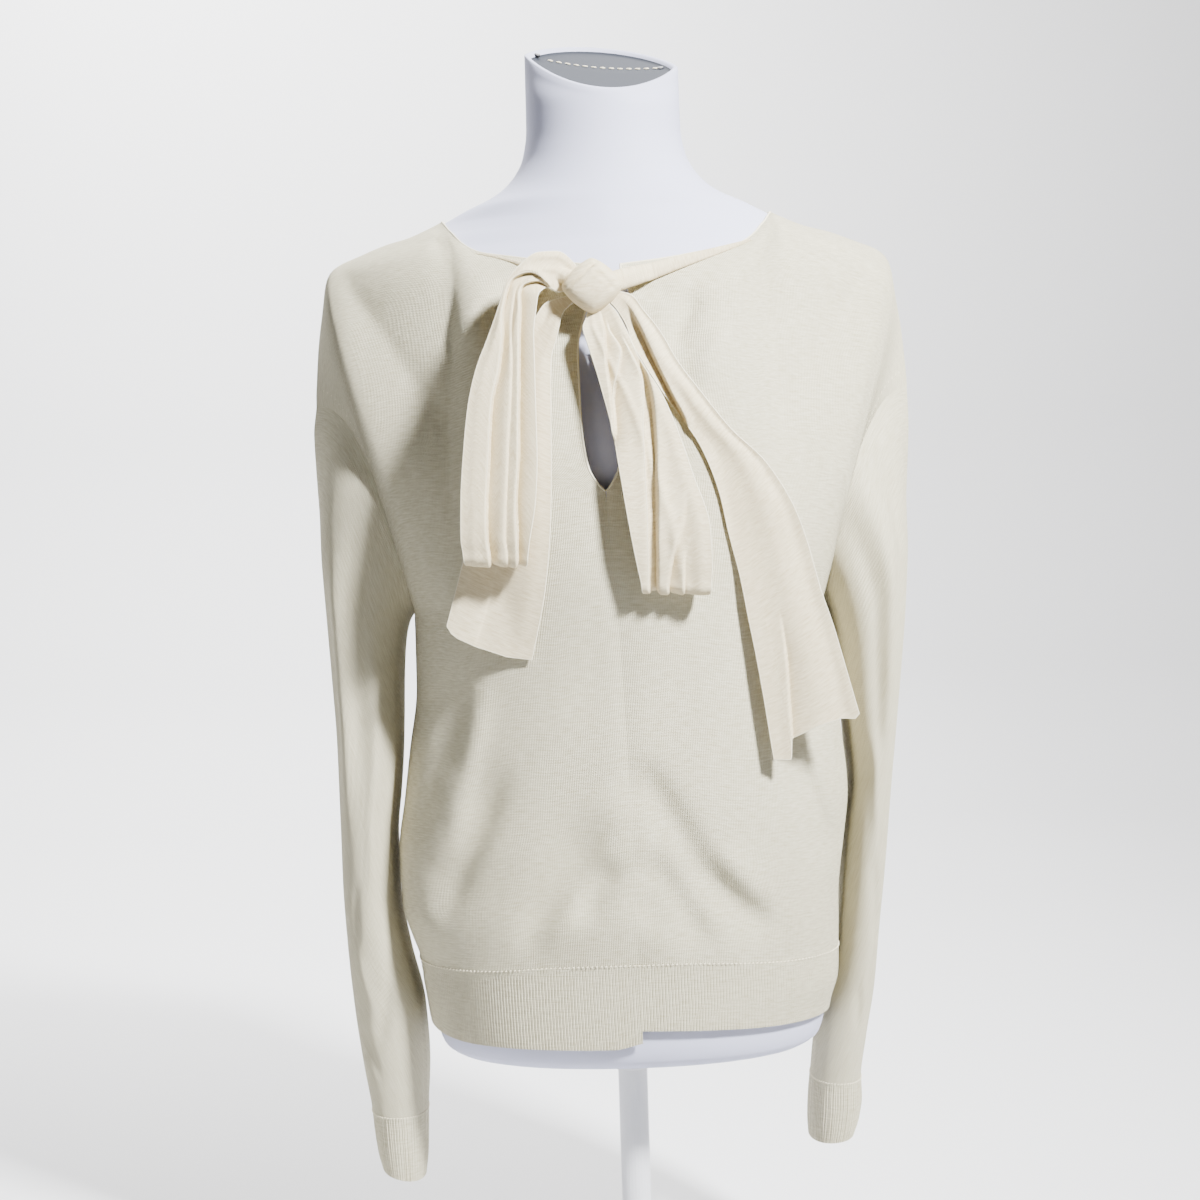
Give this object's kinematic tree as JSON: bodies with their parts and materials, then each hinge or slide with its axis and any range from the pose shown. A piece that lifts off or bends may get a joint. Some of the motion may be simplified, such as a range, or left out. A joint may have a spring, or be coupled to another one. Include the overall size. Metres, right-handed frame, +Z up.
{
  "type": "bow-neck sweater on a dress form",
  "caption": "Fine-knit long-sleeved sweater with a wide neck, a front keyhole tied with a long bow, and a ribbed hem and cuffs, on a limbless dress form with a stand.",
  "frame": {"origin": "centre of the stand base's underside, on the floor", "axes": "+Z up, -Y the way the front of the sweater faces, +X to the right in the picture"},
  "size_m": [0.4468, 0.2925, 0.9505],
  "materials": {
    "knit": "fine-gauge plain knit, matt",
    "rib": "fine ribbed knit, matt",
    "form": "smooth stretched cover, matt",
    "stand": "satin paint"
  },
  "bodies": {
    "root": {"back": "knit", "front_left": "knit", "front_right": "knit", "sleeve_left": "knit", "sleeve_right": "knit", "bow_knot": "knit", "bow_loop_left": "knit", "bow_loop_right": "knit", "bow_tail_left": "knit", "bow_tail_right": "knit", "neck_band_left": "knit", "neck_band_right": "knit", "hem_back": "rib", "hem_front_left": "rib", "hem_front_right": "rib", "cuff_left": "rib", "cuff_right": "rib", "form_torso": "form", "stand_pole": "stand", "stand_base": "stand"}
  },
  "joints": []
}
